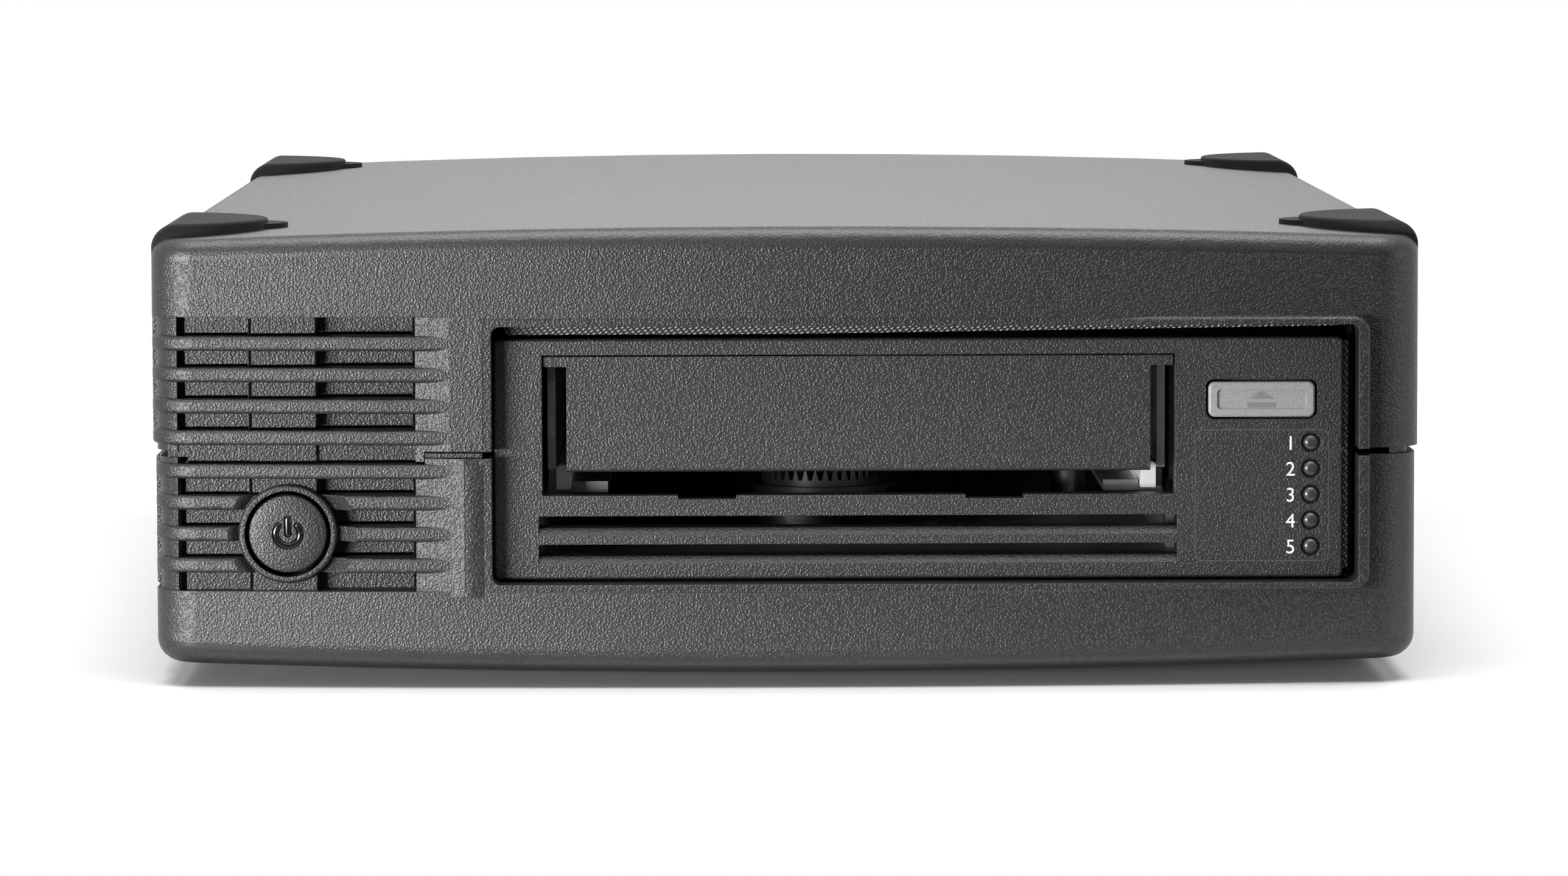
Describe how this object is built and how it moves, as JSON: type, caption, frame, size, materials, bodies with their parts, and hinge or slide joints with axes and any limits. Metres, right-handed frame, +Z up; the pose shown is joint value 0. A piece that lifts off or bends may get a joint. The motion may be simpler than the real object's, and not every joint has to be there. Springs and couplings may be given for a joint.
{
  "type": "desktop tape drive",
  "caption": "Desktop data tape drive: charcoal moulded case with a louvred corner, a half-height cartridge drive with a T-shaped door, power button, fan and rear sockets.",
  "frame": {"origin": "on the desk plane under the middle of the case, level with the undersides of the four feet", "axes": "+X to the right seen from the front, +Y to the rear, +Z up; the front face looks along -Y"},
  "size_m": [0.2237, 0.316, 0.0808],
  "materials": {
    "case_abs": "charcoal moulded ABS with a fine leather grain",
    "pad_rubber": "smooth dark grey elastomer pads",
    "foot_rubber": "black rubber feet",
    "bezel_abs": "fine-grained dark moulded bezel",
    "button_abs": "lighter grey moulded button",
    "light_lens": "tinted clear plastic light guides",
    "zinc_steel": "zinc-plated sheet and screws",
    "grey_panel": "powder-coated rear panel",
    "cast_alu": "die-cast and machined aluminium",
    "gear_nylon": "light grey moulded nylon",
    "white_acetal": "white acetal guides and rollers",
    "board_green": "green glass-epoxy boards with their parts",
    "winding_iron": "laminated iron core and coil",
    "black_nylon": "black moulded fittings, leads and fan",
    "contact_brass": "plated brass contacts",
    "gasket_weave": "woven metallised fabric over foam"
  },
  "bodies": {
    "enclosure": {"bottom_cover": "case_abs", "case_screws": "zinc_steel", "data_cable": "black_nylon", "data_port": "zinc_steel", "data_port_contacts": "black_nylon", "drive_base": "cast_alu", "drive_bezel": "bezel_abs", "drive_cradle": "zinc_steel", "drive_power_lead": "black_nylon", "drive_screws": "zinc_steel", "drive_top_cover": "zinc_steel", "emi_gasket_side": "gasket_weave", "emi_gasket_top": "gasket_weave", "fan_frame": "black_nylon", "fan_screws": "zinc_steel", "foot_front_left": "foot_rubber", "foot_front_right": "foot_rubber", "foot_rear_left": "foot_rubber", "foot_rear_right": "foot_rubber", "front_board": "board_green", "head_frame": "cast_alu", "hub_motor": "zinc_steel", "inlet_blades": "contact_brass", "inlet_screws": "zinc_steel", "loader_motor": "zinc_steel", "main_board": "board_green", "mains_lead": "black_nylon", "pad_front_left": "pad_rubber", "pad_front_right": "pad_rubber", "pad_rear_left": "pad_rubber", "pad_rear_right": "pad_rubber", "power_board": "board_green", "power_inlet": "black_nylon", "rear_panel": "grey_panel", "reel_motor": "zinc_steel", "status_lenses": "light_lens", "supply_board": "board_green", "supply_transformer": "winding_iron", "top_cover": "case_abs"},
    "power_button": {"power_button": "bezel_abs", "power_button_light": "light_lens", "power_switch_plunger": "white_acetal"},
    "eject_button": {"eject_button": "button_abs", "eject_switch_plunger": "white_acetal"},
    "door": {"cartridge_door": "bezel_abs"},
    "slider": {"loader_slider": "zinc_steel"},
    "carrier": {"cartridge_carrier": "zinc_steel", "carrier_guide_left": "white_acetal", "carrier_guide_right": "white_acetal"},
    "hub": {"cartridge_hub": "gear_nylon"},
    "reel": {"takeup_reel": "gear_nylon"},
    "roller_1": {"guide_roller_1": "white_acetal"},
    "roller_2": {"guide_roller_2": "white_acetal"},
    "roller_3": {"guide_roller_3": "white_acetal"},
    "roller_4": {"guide_roller_4": "white_acetal"},
    "head": {"head_carriage": "cast_alu", "tape_head": "winding_iron"},
    "leadscrew": {"head_leadscrew": "zinc_steel"},
    "fan": {"fan_rotor": "black_nylon"}
  },
  "joints": [
    {"name": "power_press", "type": "slide", "parent": "enclosure", "child": "power_button", "axis": [0, 1, 0], "range_m": [0, 0.0013], "stiffness_N_per_m": 800, "springref_m": -0.0005},
    {"name": "eject_press", "type": "slide", "parent": "enclosure", "child": "eject_button", "axis": [0, 1, 0], "range_m": [0, 0.0009], "stiffness_N_per_m": 800, "springref_m": -0.0005},
    {"name": "door_swing", "type": "hinge", "parent": "enclosure", "child": "door", "pos_m": [0.01275, -0.1498, 0.057], "axis": [1, 0, 0], "range_deg": [0, 88], "stiffness_Nm_per_rad": 0.01, "springref_deg": -11.46},
    {"name": "loader_travel", "type": "slide", "parent": "enclosure", "child": "slider", "axis": [0, 1, 0], "range_m": [0, 0.006]},
    {"name": "carrier_drop", "type": "slide", "parent": "slider", "child": "carrier", "axis": [0, 0, -1], "range_m": [0, 0.0045]},
    {"name": "hub_spin", "type": "hinge", "parent": "enclosure", "child": "hub", "pos_m": [0.00685, -0.0808, 0.028], "axis": [0, 0, 1], "continuous": true},
    {"name": "reel_spin", "type": "hinge", "parent": "enclosure", "child": "reel", "pos_m": [0.005, 0.01, 0.035], "axis": [0, 0, 1], "continuous": true},
    {"name": "roller_1_spin", "type": "hinge", "parent": "enclosure", "child": "roller_1", "pos_m": [0.056, -0.021, 0.038], "axis": [0, 0, 1], "continuous": true},
    {"name": "roller_2_spin", "type": "hinge", "parent": "enclosure", "child": "roller_2", "pos_m": [0.076, -0.015, 0.038], "axis": [0, 0, 1], "continuous": true},
    {"name": "roller_3_spin", "type": "hinge", "parent": "enclosure", "child": "roller_3", "pos_m": [0.078, 0.026, 0.038], "axis": [0, 0, 1], "continuous": true},
    {"name": "roller_4_spin", "type": "hinge", "parent": "enclosure", "child": "roller_4", "pos_m": [0.058, 0.041, 0.038], "axis": [0, 0, 1], "continuous": true},
    {"name": "head_travel", "type": "slide", "parent": "enclosure", "child": "head", "axis": [0, 0, 1], "range_m": [-0.0025, 0.0025]},
    {"name": "leadscrew_turn", "type": "hinge", "parent": "enclosure", "child": "leadscrew", "pos_m": [0.0892, 0.017, 0.037], "axis": [0, 0, 1], "range_deg": [-230, 230]},
    {"name": "fan_spin", "type": "hinge", "parent": "enclosure", "child": "fan", "pos_m": [0.066, 0.14, 0.041], "axis": [0, 1, 0], "continuous": true}
  ],
  "couplings": [
    {"joint": "leadscrew_turn", "follows": "head_travel", "rad_per_m": 1570.8}
  ]
}
